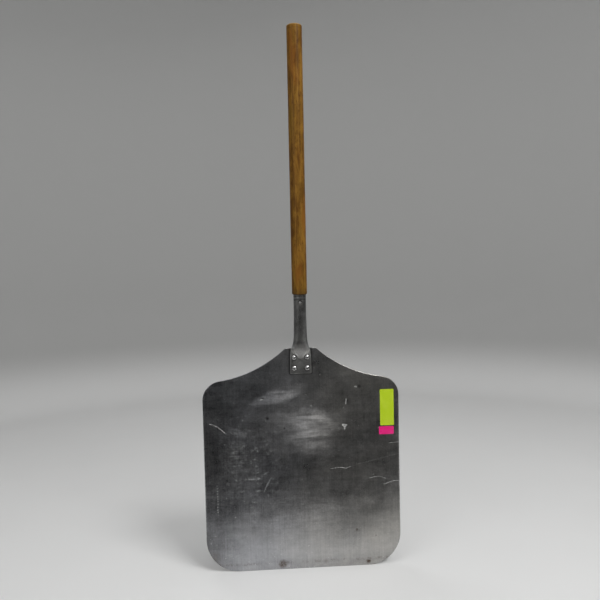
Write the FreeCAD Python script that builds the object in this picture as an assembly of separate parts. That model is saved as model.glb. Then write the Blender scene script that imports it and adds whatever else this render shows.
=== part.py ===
"""Aluminium pizza peel with a wooden handle, in millimetres.

The peel stands on its leading edge, which lies on the plane z = 0. +Z runs up the blade to the handle,
+X is to the right of someone who faces the working side, and the working side of the blade faces -Y.
The origin is below the middle of the whole peel, at floor height.
"""

import FreeCAD, Part
import math
import os

V = FreeCAD.Vector

# Whole peel
OVERALL_LENGTH = 965.2
HANDLE_TILT_DEG = 1.5

# Blade
BLADE_WIDTH = 355.6
BLADE_LENGTH = 406.4
BLADE_THICKNESS = 1.6
PEAK_HALF_WIDTH = 28.0
SHOULDER_RADIUS = 222.0
TOP_CORNER_RADIUS = 35.0
BOTTOM_CORNER_RADIUS = 60.0
BEVEL_WIDTH = 11.0
BEVEL_DEPTH = 0.7

# Socket: an aluminium tube whose lower end is crushed flat and riveted to the blade
TUBE_DIAMETER = 22.2
TUBE_WALL = 1.5
LUG_THICKNESS = 2 * TUBE_WALL
LUG_BOTTOM_Z = 360.4
LUG_BOTTOM_HALF_WIDTH = 19.2
LUG_SIDE_TOP_Z = 394.0
LUG_SIDE_TOP_HALF_WIDTH = 18.5
LUG_NECK_Z = 418.0
LUG_NECK_HALF_WIDTH = 12.0
LUG_CORNER_RADIUS = 1.5
FLARE_START_PULL = (0.4, 13.0)
FLARE_END_PULL = (1.6, 8.0)
BEND_Z = 412.0
ROUND_Z = 470.0
MOUTH_Z = 504.0
THROAT_Z = 440.0
THROAT_FOOT = (18.0, 415.0)
THROAT_FOOT_RADIUS = 3.5
GROOVE_WIDTH = 1.6
GROOVE_DEPTH = 0.35
GROOVE_DROPS = (3.6, 10.0)

# Wooden handle
DOWEL_DIAMETER = 27.0
DOWEL_END_RADIUS = 2.0
SHOULDER_CHAMFER = 0.8
TENON_CLEARANCE = 0.05
TENON_LENGTH = 47.0

# Retaining pin, driven through the front of the socket into the tenon
PIN_DROP = 14.6
PIN_HEAD_RADIUS = 2.8
PIN_HEAD_THICKNESS = 1.0
PIN_SHANK_RADIUS = 1.3
PIN_LENGTH = 13.0
PIN_HOLE_CLEARANCE = 0.05
DIMPLE_RADIUS = 3.8
DIMPLE_DEPTH = 0.9

# Rivets
RIVET_SPACING_X = 23.4
RIVET_SPACING_Z = 19.4
RIVET_LOWER_Z = 370.3
RIVET_SHANK_RADIUS = 2.4
RIVET_HEAD_RADIUS = 4.4
RIVET_HEAD_RIM = 0.5
RIVET_HEAD_DOME = 2.0
RIVET_TAIL_RADIUS = 3.8
RIVET_TAIL_DEPTH = 0.9

# Paper lot labels: left edge, lower edge, width and height of each
LABEL_THICKNESS = 0.15
LABEL_CORNER_RADIUS = 1.5
GREEN_LABEL = (143.2, 259.6, 25.4, 66.7)
PINK_LABEL = (140.6, 243.1, 27.4, 14.8)

# How far a cut passes the surface it opens, and how close two places are that count as one
CUT_PAST = 1.0
SAME_PLACE = 0.01

# Worked out from the above
TILT = math.radians(HANDLE_TILT_DEG)
TUBE_RADIUS = TUBE_DIAMETER / 2
BORE_RADIUS = TUBE_RADIUS - TUBE_WALL
DOWEL_RADIUS = DOWEL_DIAMETER / 2
MOUTH_S = (MOUTH_Z - BEND_Z) / math.cos(TILT)
END_S = (OVERALL_LENGTH - BEND_Z) / math.cos(TILT)
HANDLE_LEAN = (END_S - DOWEL_END_RADIUS) * math.sin(TILT)
DEPTH_AHEAD_OF_BLADE = TUBE_RADIUS + HANDLE_LEAN + DOWEL_RADIUS * math.cos(TILT)
BACK_Y = (DEPTH_AHEAD_OF_BLADE + BLADE_THICKNESS) / 2
FRONT_Y = BACK_Y - BLADE_THICKNESS
LUG_FRONT_Y = FRONT_Y - LUG_THICKNESS
AXIS = V(0, -math.sin(TILT), math.cos(TILT))
OUTWARD = V(0, -math.cos(TILT), -math.sin(TILT))
BEND_POINT = V(0, FRONT_Y - TUBE_RADIUS, BEND_Z)

# How the tube opens out of the flat lug: height, width and depth of its outside, how square it is
# (2 is an ellipse), and how far its back stays in front of the lug's back
OPENING = (
    (385.0, 1.2, 1.0, 2.0, 1.5),
    (395.0, 17.0, 5.9, 2.0, 1.0),
    (405.0, 29.0, 11.2, 2.2, 0.5),
    (412.0, 28.7, 14.2, 2.4, 0.3),
    (419.0, 25.8, 16.8, 2.2, 0.3),
    (427.0, 24.4, 19.0, 2.1, 0.3),
    (450.0, 22.8, 21.8, 2.0, 0.15),
)
ROUND_SECTIONS = 5
SECTION_POINTS = 24


def on_axis(s):
    """The point on the handle's axis at distance s above the bend."""
    return BEND_POINT + AXIS * s


def turned(radius, length, s, direction=AXIS):
    """A round bar that starts at s on the handle's axis."""
    return Part.makeCylinder(radius, length, on_axis(s), direction)


def mid_arc(start, end, centre, radius):
    """An arc about centre that passes the middle of the short way from start to end."""
    middle = (start + end) * 0.5 - centre
    return Part.Arc(start, centre + middle.normalize() * radius, end).toShape()


def blade_side():
    """The blade's right side, from the leading edge up to the peak, as edges in the plane y = 0."""
    half = BLADE_WIDTH / 2
    shoulder_z = BLADE_LENGTH + math.sqrt(SHOULDER_RADIUS**2 - (half - PEAK_HALF_WIDTH) ** 2)
    shoulder = V(half, 0, shoulder_z)
    reach = SHOULDER_RADIUS + TOP_CORNER_RADIUS
    top_corner_z = shoulder_z - math.sqrt(reach**2 - TOP_CORNER_RADIUS**2)
    top_corner = V(half - TOP_CORNER_RADIUS, 0, top_corner_z)
    bottom_corner = V(half - BOTTOM_CORNER_RADIUS, 0, BOTTOM_CORNER_RADIUS)

    low = V(bottom_corner.x, 0, 0)
    side_low = V(half, 0, BOTTOM_CORNER_RADIUS)
    side_high = V(half, 0, top_corner_z)
    blend = top_corner + (shoulder - top_corner).normalize() * TOP_CORNER_RADIUS
    peak = V(PEAK_HALF_WIDTH, 0, BLADE_LENGTH)
    return [
        mid_arc(low, side_low, bottom_corner, BOTTOM_CORNER_RADIUS),
        Part.makeLine(side_low, side_high),
        mid_arc(side_high, blend, top_corner, TOP_CORNER_RADIUS),
        mid_arc(blend, peak, shoulder, SHOULDER_RADIUS),
    ]


def mirrored(edges):
    """The same edges on the other side of the plane x = 0."""
    return [edge.mirror(V(0, 0, 0), V(1, 0, 0)) for edge in edges]


def closed_face(edges):
    """A flat face inside loose edges that join end to end."""
    return Part.Face(Part.Wire(Part.__sortEdges__(edges)))


def rivet_places():
    """Name and place, on the blade's front plane, of each rivet."""
    rows = (("lower", RIVET_LOWER_Z), ("upper", RIVET_LOWER_Z + RIVET_SPACING_Z))
    columns = (("left", -RIVET_SPACING_X / 2), ("right", RIVET_SPACING_X / 2))
    return [(f"rivet_{row}_{column}", V(x, FRONT_Y, z)) for row, z in rows for column, x in columns]


def rivet_hole(place):
    """The hole that a rivet fills: its shank, and the countersink for its tail in the blade's back."""
    shank_length = LUG_THICKNESS + BLADE_THICKNESS
    shank_start = V(place.x, LUG_FRONT_Y, place.z)
    shank = Part.makeCylinder(RIVET_SHANK_RADIUS, shank_length, shank_start, V(0, 1, 0))
    tail_start = V(place.x, BACK_Y - RIVET_TAIL_DEPTH, place.z)
    tail = Part.makeCone(RIVET_SHANK_RADIUS, RIVET_TAIL_RADIUS, RIVET_TAIL_DEPTH, tail_start, V(0, 1, 0))
    return shank.fuse(tail)


def make_blade():
    """A sheet with rounded corners, hollow shoulders, a flat peak, and a leading edge bevelled in front."""
    side = blade_side()
    half_foot = BLADE_WIDTH / 2 - BOTTOM_CORNER_RADIUS
    foot = Part.makeLine(V(-half_foot, 0, 0), V(half_foot, 0, 0))
    peak = Part.makeLine(V(-PEAK_HALF_WIDTH, 0, BLADE_LENGTH), V(PEAK_HALF_WIDTH, 0, BLADE_LENGTH))
    outline = closed_face(side + mirrored(side) + [foot, peak])
    outline.translate(V(0, FRONT_Y, 0))
    blade = outline.extrude(V(0, BLADE_THICKNESS, 0))

    bevel_corners = [V(0, FRONT_Y, 0), V(0, FRONT_Y + BEVEL_DEPTH, 0), V(0, FRONT_Y, BEVEL_WIDTH)]
    bevel_face = Part.Face(Part.makePolygon(bevel_corners + bevel_corners[:1]))
    bevel_face.translate(V(-BLADE_WIDTH / 2, 0, 0))
    blade = blade.cut(bevel_face.extrude(V(BLADE_WIDTH, 0, 0)))
    for _, place in rivet_places():
        blade = blade.cut(rivet_hole(place))
    return blade


def section(z, width, depth, squareness, back_gap):
    """A closed curve round the tube at height z: level below the bend, and square to the handle above it."""
    above = max(z - BEND_Z, 0.0) / math.cos(TILT)
    front = OUTWARD if z > BEND_Z else V(0, -1, 0)
    back = on_axis(above) - front * (TUBE_RADIUS - back_gap)
    back.z = back.z + min(z - BEND_Z, 0.0)
    centre = back + front * (depth / 2)
    points = []
    for i in range(SECTION_POINTS):
        turn = 2 * math.pi * i / SECTION_POINTS
        across = math.copysign(abs(math.cos(turn)) ** (2 / squareness), math.cos(turn))
        along = math.copysign(abs(math.sin(turn)) ** (2 / squareness), math.sin(turn))
        points.append(centre + V(across * width / 2, 0, 0) + front * (along * depth / 2))
    curve = Part.BSplineCurve()
    curve.interpolate(Points=points, PeriodicFlag=True)
    return Part.Wire(curve.toShape())


def round_sections():
    """The evenly spaced sections of the part of the tube that stayed round."""
    step = (MOUTH_Z - ROUND_Z) / ROUND_SECTIONS
    heights = [ROUND_Z + step * i for i in range(ROUND_SECTIONS + 1)]
    return tuple((z, TUBE_DIAMETER, TUBE_DIAMETER, 2.0, 0.0) for z in heights)


def tube_outside():
    """The outside of the tube, from the tip of its opening, inside the lug, up to its mouth."""
    return Part.makeLoft([section(*row) for row in OPENING + round_sections()], True)


def throat():
    """The narrowing hollow between the bore and the crushed end."""
    top = on_axis((THROAT_Z - BEND_Z) / math.cos(TILT))
    foot = V(0, *THROAT_FOOT)
    return Part.makeCone(BORE_RADIUS, THROAT_FOOT_RADIUS, (foot - top).Length, top, foot - top)


def make_lug():
    """The crushed end: a flat plate that narrows to a neck inside the tube."""
    low = V(LUG_BOTTOM_HALF_WIDTH, 0, LUG_BOTTOM_Z)
    side = V(LUG_SIDE_TOP_HALF_WIDTH, 0, LUG_SIDE_TOP_Z)
    neck = V(LUG_NECK_HALF_WIDTH, 0, LUG_NECK_Z)
    start_pull = V(-FLARE_START_PULL[0], 0, FLARE_START_PULL[1])
    end_pull = V(FLARE_END_PULL[0], 0, -FLARE_END_PULL[1])
    flare = Part.BezierCurve()
    flare.setPoles([side, side + start_pull, neck + end_pull, neck])
    right = [Part.makeLine(low, side), flare.toShape()]
    foot = Part.makeLine(V(-low.x, 0, low.z), low)
    top = Part.makeLine(V(-neck.x, 0, neck.z), neck)
    plate = closed_face(right + mirrored(right) + [foot, top])
    plate.translate(V(0, LUG_FRONT_Y, 0))
    lug = plate.extrude(V(0, LUG_THICKNESS, 0))
    low_edges = [e for e in lug.Edges if e.BoundBox.ZMax < LUG_BOTTOM_Z + SAME_PLACE]
    corners = [e for e in low_edges if e.BoundBox.XLength < SAME_PLACE]
    return lug.makeFillet(LUG_CORNER_RADIUS, corners)


def behind_lug():
    """The space behind the crushed end, which the press keeps flat."""
    corner = V(-LUG_BOTTOM_HALF_WIDTH, FRONT_Y, LUG_BOTTOM_Z)
    return Part.makeBox(2 * LUG_BOTTOM_HALF_WIDTH, TUBE_RADIUS, LUG_NECK_Z - LUG_BOTTOM_Z, corner)


def make_socket():
    """The tube, round at its mouth and crushed flat over the blade, with its holes and rolled grooves."""
    socket = tube_outside().fuse(make_lug()).cut(behind_lug())
    bore_start = (THROAT_Z - BEND_Z) / math.cos(TILT)
    socket = socket.cut(turned(BORE_RADIUS, MOUTH_S - bore_start + CUT_PAST, bore_start)).cut(throat())
    for drop in GROOVE_DROPS:
        socket = socket.cut(groove_ring(MOUTH_S - drop))
    for _, place in rivet_places():
        socket = socket.cut(rivet_hole(place))
    return socket.cut(pin_dimple()).cut(pin_opening())


def groove_ring(s):
    """What a rolled groove takes off the tube, centred at s on the handle's axis."""
    start = s - GROOVE_WIDTH / 2
    around = turned(TUBE_RADIUS + CUT_PAST, GROOVE_WIDTH, start)
    return around.cut(turned(TUBE_RADIUS - GROOVE_DEPTH, GROOVE_WIDTH, start))


def pin_point(height):
    """A point on the retaining pin's axis, at this distance from the handle's axis."""
    return on_axis(MOUTH_S - PIN_DROP) + OUTWARD * height


def pin_dimple():
    """The shallow dished hollow that the pin's head lies in."""
    sphere_radius = (DIMPLE_RADIUS**2 + DIMPLE_DEPTH**2) / (2 * DIMPLE_DEPTH)
    return Part.makeSphere(sphere_radius, pin_point(TUBE_RADIUS - DIMPLE_DEPTH + sphere_radius))


def pin_opening():
    """The hole through the socket's front wall that the pin's head sits in."""
    start = pin_point(BORE_RADIUS - TUBE_WALL)
    return Part.makeCylinder(PIN_HEAD_RADIUS + PIN_HOLE_CLEARANCE, 3 * TUBE_WALL, start, OUTWARD)


def pin_head():
    """The pin's flat head, which rests on the tenon inside the socket's wall."""
    start = pin_point(BORE_RADIUS - TENON_CLEARANCE)
    return Part.makeCylinder(PIN_HEAD_RADIUS, PIN_HEAD_THICKNESS, start, OUTWARD)


def pin_shank(clearance=0.0):
    """The pin's shank, inside the tenon."""
    start = pin_point(BORE_RADIUS - TENON_CLEARANCE)
    return Part.makeCylinder(PIN_SHANK_RADIUS + clearance, PIN_LENGTH, start, OUTWARD * -1)


def make_retaining_pin():
    """A short nail with a flat head."""
    return pin_head().fuse(pin_shank()).removeSplitter()


def make_wooden_handle():
    """A dowel with a rounded free end, and a turned tenon that fills the socket's bore."""
    dowel = turned(DOWEL_RADIUS, END_S - MOUTH_S, MOUTH_S)
    rims = [e for e in dowel.Edges if isinstance(e.Curve, Part.Circle)]
    rims.sort(key=lambda e: e.CenterOfMass.z)
    dowel = dowel.makeFillet(DOWEL_END_RADIUS, [rims[-1]])
    circles = [e for e in dowel.Edges if isinstance(e.Curve, Part.Circle)]
    foot = min(circles, key=lambda e: e.CenterOfMass.z)
    dowel = dowel.makeChamfer(SHOULDER_CHAMFER, [foot])
    tenon = turned(BORE_RADIUS - TENON_CLEARANCE, TENON_LENGTH, MOUTH_S - TENON_LENGTH)
    return dowel.fuse(tenon).cut(pin_shank(PIN_HOLE_CLEARANCE))


def make_rivet(place):
    """A solid rivet: domed head in front, shank through lug and blade, tail hammered flush at the back."""
    front = V(place.x, LUG_FRONT_Y, place.z)
    rim = Part.makeCylinder(RIVET_HEAD_RADIUS, RIVET_HEAD_RIM, front, V(0, -1, 0))
    ball_radius = (RIVET_HEAD_RADIUS**2 + RIVET_HEAD_DOME**2) / (2 * RIVET_HEAD_DOME)
    rim_front_y = LUG_FRONT_Y - RIVET_HEAD_RIM
    ball = Part.makeSphere(ball_radius, V(place.x, rim_front_y + ball_radius - RIVET_HEAD_DOME, place.z))
    keep_start = V(place.x, rim_front_y, place.z)
    keep = Part.makeCylinder(RIVET_HEAD_RADIUS, RIVET_HEAD_DOME + CUT_PAST, keep_start, V(0, -1, 0))
    return rim.fuse(ball.common(keep)).fuse(rivet_hole(place)).removeSplitter()


def make_label(x, z, width, height):
    """A paper label with rounded corners, stuck to the blade's front."""
    label = Part.makeBox(width, LABEL_THICKNESS, height, V(x, FRONT_Y - LABEL_THICKNESS, z))
    corners = [e for e in label.Edges if e.Length < 2 * LABEL_THICKNESS]
    return label.makeFillet(LABEL_CORNER_RADIUS, corners)


def export(name, shape):
    """Writes one sub-part, and prints what it measures."""
    solid = shape.Solids[0]
    print(f"{name}: solids {len(shape.Solids)}, valid {solid.isValid()}, volume {solid.Volume:.1f} mm3")
    solid.exportStep(f"parts/{name}.step")


def main():
    os.makedirs("parts", exist_ok=True)
    export("blade", make_blade())
    export("handle_socket", make_socket())
    export("wooden_handle", make_wooden_handle())
    export("retaining_pin", make_retaining_pin())
    for name, place in rivet_places():
        export(name, make_rivet(place))
    export("lot_label_green", make_label(*GREEN_LABEL))
    export("lot_label_pink", make_label(*PINK_LABEL))


main()
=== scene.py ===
import math

import bmesh
import bpy
from mathutils import Matrix, Vector, noise


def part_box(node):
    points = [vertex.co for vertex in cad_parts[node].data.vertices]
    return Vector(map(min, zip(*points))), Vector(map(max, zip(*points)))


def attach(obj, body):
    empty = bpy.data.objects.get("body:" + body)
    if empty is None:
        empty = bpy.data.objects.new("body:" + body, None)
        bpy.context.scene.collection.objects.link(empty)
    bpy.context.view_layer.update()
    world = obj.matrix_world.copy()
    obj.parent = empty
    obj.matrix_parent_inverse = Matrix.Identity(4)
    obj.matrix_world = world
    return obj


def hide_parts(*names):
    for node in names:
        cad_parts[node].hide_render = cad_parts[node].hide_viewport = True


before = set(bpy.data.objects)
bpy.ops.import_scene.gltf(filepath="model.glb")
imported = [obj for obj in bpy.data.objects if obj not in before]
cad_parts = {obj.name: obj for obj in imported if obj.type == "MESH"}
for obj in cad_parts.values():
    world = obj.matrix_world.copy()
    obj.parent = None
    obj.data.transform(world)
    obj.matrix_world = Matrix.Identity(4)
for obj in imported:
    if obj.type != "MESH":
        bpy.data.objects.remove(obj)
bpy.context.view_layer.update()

MM = 0.001

# Blade, from the frame's box and the same radii as the solid
blade_low, blade_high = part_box("blade")
BLADE_HALF = blade_high.x
BLADE_TOP = blade_high.z
FRONT_Y = blade_low.y
BACK_Y = blade_high.y
PEAK_HALF = 28.0 * MM
SHOULDER_RADIUS = 222.0 * MM
TOP_CORNER_RADIUS = 35.0 * MM
BOTTOM_CORNER_RADIUS = 60.0 * MM
BEVEL_WIDTH = 11.0 * MM
BEVEL_DEPTH = 0.7 * MM
BLADE_STEP = 2.0 * MM
BLADE_EDGE = 0.4 * MM
BACK_INSET = 0.12 * MM

# The sheet's bend: flat round the lug's middle, and elsewhere a mean with slow and quick changes
FLAT_MIDDLE_Z = 385.0 * MM
FLAT_RADIUS = 30.0 * MM
FLAT_FADE = 80.0 * MM
SAG_MEAN = 0.50 * MM
SAG_SLOW = 0.30 * MM
SAG_QUICK = 0.08 * MM

# Socket and handle
TILT = math.radians(1.5)
TUBE_RADIUS = 11.1 * MM
BORE_RADIUS = 9.6 * MM
DOWEL_RADIUS = 13.5 * MM
LUG_THICKNESS = 3.0 * MM
LUG_CORNER_RADIUS = 1.5 * MM
LUG_EDGE = 0.35 * MM
BEND_Z = 412.0 * MM
LUG_BOTTOM_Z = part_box("handle_socket")[0].z
MOUTH_Z = 504.0 * MM
HANDLE_TOP_Z = 965.2 * MM
TENON_LENGTH = 47.0 * MM
PIN_DROP = 14.6 * MM
GROOVE_DROPS = (3.6 * MM, 10.0 * MM)
GROOVE_DEPTH = 0.22 * MM
GROOVE_SPREAD = 0.9 * MM
DIMPLE_RADIUS = 4.2 * MM
DIMPLE_DEPTH = 1.0 * MM
SOCKET_STEP = 1.5 * MM
MOUTH_STEP = 0.5 * MM
MOUTH_ZONE = 24.0 * MM
DOWEL_STEP = 2.5 * MM
DOWEL_END_RADIUS = 2.0 * MM
END_RING_DROP = 7.5 * MM
TENON_GAP = 0.1 * MM
TENON_CHAMFER = 0.8 * MM
DOWEL_CHAMFER = 0.9 * MM
WEAR_DEPTH = 0.10 * MM

# Rivets
RIVET_HEAD_RADIUS = 4.4 * MM
RIVET_RIM = 0.2 * MM
RIVET_DOME = 2.3 * MM
RIVET_SHANK_RADIUS = 2.4 * MM
RIVET_TAIL_RADIUS = 3.7 * MM
RIVET_TAIL_DEPTH = 0.9 * MM
RIVET_UNEVEN = 0.03

# Retaining pin from head to point, in mm: radius, and how far outside the bore, less how deep it sits
PIN_SINK = 0.1 * MM
PIN_OUTLINE = ((1.2, 0.98), (2.0, 0.92), (2.5, 0.75), (2.75, 0.45), (2.75, 0.05), (1.3, 0.0), (1.3, -11.5),
               (0.5, -13.0))

# Labels
PAPER_THICKNESS = 0.12 * MM
LABEL_CORNER_RADIUS = 1.5 * MM
LABEL_STEP = 1.2 * MM
LABEL_GAP = 0.02 * MM
LABEL_LIFT = 0.55 * MM
LABEL_CREASE = 0.05 * MM

AXIS = Vector((0, -math.sin(TILT), math.cos(TILT)))
OUTWARD = Vector((0, -math.cos(TILT), -math.sin(TILT)))
ACROSS = Vector((1, 0, 0))
BEND_POINT = Vector((0, FRONT_Y - TUBE_RADIUS, BEND_Z))
MOUTH_S = (MOUTH_Z - BEND_Z) / math.cos(TILT)
END_S = (HANDLE_TOP_Z - BEND_Z) / math.cos(TILT)

# Dents in the blade, in metres: place across and up, spread and depth
DENTS = (
    (0.104, 0.331, 0.0048, 0.00070),
    (0.081, 0.307, 0.0036, 0.00055),
    (0.078, 0.261, 0.0052, 0.00080),
    (0.008, 0.320, 0.0032, 0.00045),
    (-0.071, 0.315, 0.0032, 0.00045),
    (-0.064, 0.279, 0.0040, 0.00050),
    (-0.033, 0.260, 0.0028, 0.00035),
    (0.097, 0.068, 0.0022, 0.00055),
    (0.132, 0.055, 0.0020, 0.00030),
    (-0.128, 0.286, 0.0060, 0.00030),
    (-0.105, 0.262, 0.0045, 0.00030),
    (0.041, 0.301, 0.0050, 0.00025),
    (0.133, 0.118, 0.0080, 0.00030),
    (-0.020, 0.152, 0.0070, 0.00025),
    (-0.092, 0.083, 0.0060, 0.00025),
)
# Scratches in the blade, and painted highlights on the rims of dents, in metres: points across and up, and
# half width; then strength
SCRATCH_AND_HIGHLIGHT_STROKES = (
    (((-0.166, 0.274), (-0.151, 0.267), (-0.138, 0.255)), 0.0007, 1.0),
    (((0.051, 0.1835), (0.068, 0.1850), (0.079, 0.1830), (0.088, 0.1860)), 0.0008, 0.85),
    (((0.088, 0.186), (0.118, 0.194), (0.177, 0.206)), 0.0005, 0.36),
    (((0.122, 0.163), (0.138, 0.166), (0.152, 0.161)), 0.0006, 0.75),
    (((0.148, 0.150), (0.163, 0.155), (0.177, 0.156)), 0.0007, 0.9),
    (((0.159, 0.2270), (0.177, 0.2280)), 0.0005, 0.8),
    (((-0.072, 0.145), (-0.061, 0.167)), 0.0012, 0.45),
    (((0.148, 0.335), (0.166, 0.349)), 0.0003, 0.3),
    (((-0.085, 0.362), (-0.074, 0.352)), 0.0005, 0.4),
    # The next eight rows are painted highlights on the rims of dents
    (((0.0810, 0.3115), (0.0805, 0.3020)), 0.0014, 0.8),
    (((0.0744, 0.2632), (0.0812, 0.2626)), 0.0030, 0.9),
    (((0.0762, 0.2606), (0.0794, 0.2602)), 0.0026, 0.9),
    (((0.0776, 0.2590), (0.0779, 0.2560)), 0.0019, 0.9),
    (((0.0985, 0.3335), (0.1010, 0.3328)), 0.0021, 0.8),
    (((0.0070, 0.3210), (0.0095, 0.3204)), 0.0012, 0.7),
    (((-0.0735, 0.3150), (-0.0690, 0.3156)), 0.0011, 0.6),
    (((-0.0660, 0.2790), (-0.0650, 0.2750)), 0.0008, 0.35),
    (((-0.0915, 0.1265), (-0.0880, 0.1285), (-0.0840, 0.1270)), 0.0012, 0.5),
)
# Pale smears in the blade's oxide, in metres: middle, half length and half height; then slope and strength
SMEARS = (
    ((-0.042, 0.321), 0.060, 0.017, 0.27, 0.85),
    ((0.001, 0.284), 0.060, 0.018, -0.08, 0.55),
    ((0.014, 0.267), 0.066, 0.018, -0.05, 0.75),
    ((0.008, 0.242), 0.060, 0.016, 0.05, 0.70),
    ((0.022, 0.221), 0.040, 0.013, 0.10, 0.60),
    ((-0.117, 0.255), 0.022, 0.009, -0.50, 0.55),
    ((-0.010, 0.095), 0.120, 0.045, 0.05, 0.30),
)
# A dent that is deeper than this gets a spot of painted shade
PIT_DEPTH = 0.00032
# Baked-on spots on the blade, in metres: centre, radius of the core and of the whole; then strength
BAKED_SPOTS = (
    ((0.097, 0, 0.0683), 0.0010, 0.0030, 1.0),
    ((-0.040, 0, 0.0105), 0.0035, 0.0100, 1.0),
    ((0.117, 0, 0.0065), 0.0020, 0.0062, 1.0),
    ((0.039, 0, 0.0120), 0.0005, 0.0070, 0.35),
    ((-0.163, 0, 0.028), 0.0020, 0.0150, 0.40),
    ((0.132, 0, 0.055), 0.0005, 0.0022, 0.6),
)


# ---------------------------------------------------------------- shapes


def smooth(t):
    """Eases from 0 to 1, and holds outside that."""
    t = min(max(t, 0.0), 1.0)
    return t * t * (3 - 2 * t)


def bell(distance, spread):
    """1 at no distance, falling off over the spread."""
    return math.exp(-((distance / spread) ** 2))


def on_axis(s):
    """The point on the handle's axis at distance s above the bend."""
    return BEND_POINT + AXIS * s


def middle_of(node):
    """The middle of a CAD node's box."""
    low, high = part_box(node)
    return (low + high) / 2


def mesh_object(name, points, faces, material):
    """A smooth-shaded mesh object."""
    mesh = bpy.data.meshes.new(name)
    mesh.from_pydata([tuple(p) for p in points], [], faces)
    for polygon in mesh.polygons:
        polygon.use_smooth = True
    mesh.materials.append(material)
    made = bpy.data.objects.new(name, mesh)
    bpy.context.scene.collection.objects.link(made)
    return made


def new_piece(name, points, faces, material, node):
    """A mesh object that stands for a CAD node, with its faces turned outward."""
    piece = mesh_object(name, points, faces, material)
    shell = bmesh.new()
    shell.from_mesh(piece.data)
    bmesh.ops.recalc_face_normals(shell, faces=shell.faces)
    shell.to_mesh(piece.data)
    shell.free()
    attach(piece, "root")
    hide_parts(node)
    return piece


def ring_piece(name, rings, material, node):
    """A closed piece from rings of the same number of points, with a fan over each end."""
    count = len(rings[0])
    points = [p for ring in rings for p in ring]
    points += [sum(ring, Vector()) / count for ring in (rings[0], rings[-1])]
    faces = []
    for r in range(len(rings) - 1):
        for i in range(count):
            j = (i + 1) % count
            faces.append((r * count + i, r * count + j, (r + 1) * count + j, (r + 1) * count + i))
    first = len(rings) * count
    for i in range(count):
        j = (i + 1) % count
        faces.append((first, j, i))
        faces.append((first + 1, first - count + i, first - count + j))
    return new_piece(name, points, faces, material, node)


def arc_side(centre, radius, start, end, sign, step):
    """Points along an arc without its last, each with its outward direction; sign is -1 on a hollow arc."""
    count = max(3, round(abs(end - start) * radius / step))
    found = []
    for i in range(count):
        a = start + (end - start) * i / count
        found.append((centre[0] + radius * math.cos(a), centre[1] + radius * math.sin(a),
                      sign * math.cos(a), sign * math.sin(a)))
    return found


def straight_side(x, low, high, step):
    """Points up a straight side, without its last."""
    count = max(1, round((high - low) / step))
    return [(x, low + (high - low) * i / count, 1.0, 0.0) for i in range(count)]


def blade_side(step):
    """The blade's right side from its foot to its peak: points with their outward directions."""
    shoulder_z = BLADE_TOP + math.sqrt(SHOULDER_RADIUS**2 - (BLADE_HALF - PEAK_HALF) ** 2)
    reach = SHOULDER_RADIUS + TOP_CORNER_RADIUS
    top_z = shoulder_z - math.sqrt(reach**2 - TOP_CORNER_RADIUS**2)
    blend = math.atan2(shoulder_z - top_z, TOP_CORNER_RADIUS)
    peak = math.atan2(BLADE_TOP - shoulder_z, PEAK_HALF - BLADE_HALF)
    bottom = (BLADE_HALF - BOTTOM_CORNER_RADIUS, BOTTOM_CORNER_RADIUS)
    top = (BLADE_HALF - TOP_CORNER_RADIUS, top_z)
    side = arc_side(bottom, BOTTOM_CORNER_RADIUS, -math.pi / 2, 0, 1, step)
    side += straight_side(BLADE_HALF, bottom[1], top_z, step)
    side += arc_side(top, TOP_CORNER_RADIUS, 0, blend, 1, step)
    side += arc_side((BLADE_HALF, shoulder_z), SHOULDER_RADIUS, blend - math.pi, peak, -1, step)
    side.append((PEAK_HALF, BLADE_TOP, 0.5, 0.866))
    return side


def label_side(half_width, height, radius, step):
    """A label's right side from its lower edge to its upper one."""
    inner = half_width - radius
    side = arc_side((inner, radius), radius, -math.pi / 2, 0, 1, radius / 4)
    side += straight_side(half_width, radius, height - radius, step)
    side += arc_side((inner, height - radius), radius, 0, math.pi / 2, 1, radius / 4)
    side.append((inner, height, 0.0, 1.0))
    return side


def sheet_shape(side, columns, middle_x, low_z, front, back, edge):
    """Points and faces of a closed sheet.

    side is mirrored about middle_x, and front and back give y for x and z.
    edge is how far the rim is rounded.
    """
    rows = len(side)
    fronts, backs = [], []
    for x_end, z_end, across, up in side:
        half = x_end - edge * across
        z = low_z + z_end - edge * up
        for c in range(columns + 1):
            x = middle_x + half * (2 * c / columns - 1)
            fronts.append(Vector((x, front(x, z), z)))
            backs.append(Vector((x, back(x, z), z)))
    width = columns + 1

    def at(r, c):
        return r * width + c

    faces = []
    shift = len(fronts)
    for r in range(rows - 1):
        for c in range(columns):
            quad = (at(r, c), at(r, c + 1), at(r + 1, c + 1), at(r + 1, c))
            faces.append(quad)
            faces.append(tuple(shift + i for i in reversed(quad)))

    rim = [(at(0, c), 0.0, -1.0) for c in range(columns + 1)]
    rim += [(at(r, columns), side[r][2], side[r][3]) for r in range(1, rows)]
    rim += [(at(rows - 1, c), 0.0, 1.0) for c in range(columns - 1, -1, -1)]
    rim += [(at(r, 0), -side[r][2], side[r][3]) for r in range(rows - 2, 0, -1)]
    points = fronts + backs
    near, far = len(points), len(points) + len(rim)
    for share in (0.3, 0.7):
        for i, across, up in rim:
            y = fronts[i].y + (backs[i].y - fronts[i].y) * share
            points.append(Vector((fronts[i].x + edge * across, y, fronts[i].z + edge * up)))
    for k, (i, _, _) in enumerate(rim):
        n = (k + 1) % len(rim)
        j = rim[n][0]
        faces.append((i, near + k, near + n, j))
        faces.append((near + k, far + k, far + n, near + n))
        faces.append((far + k, shift + i, shift + j, far + n))
    return points, faces


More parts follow.
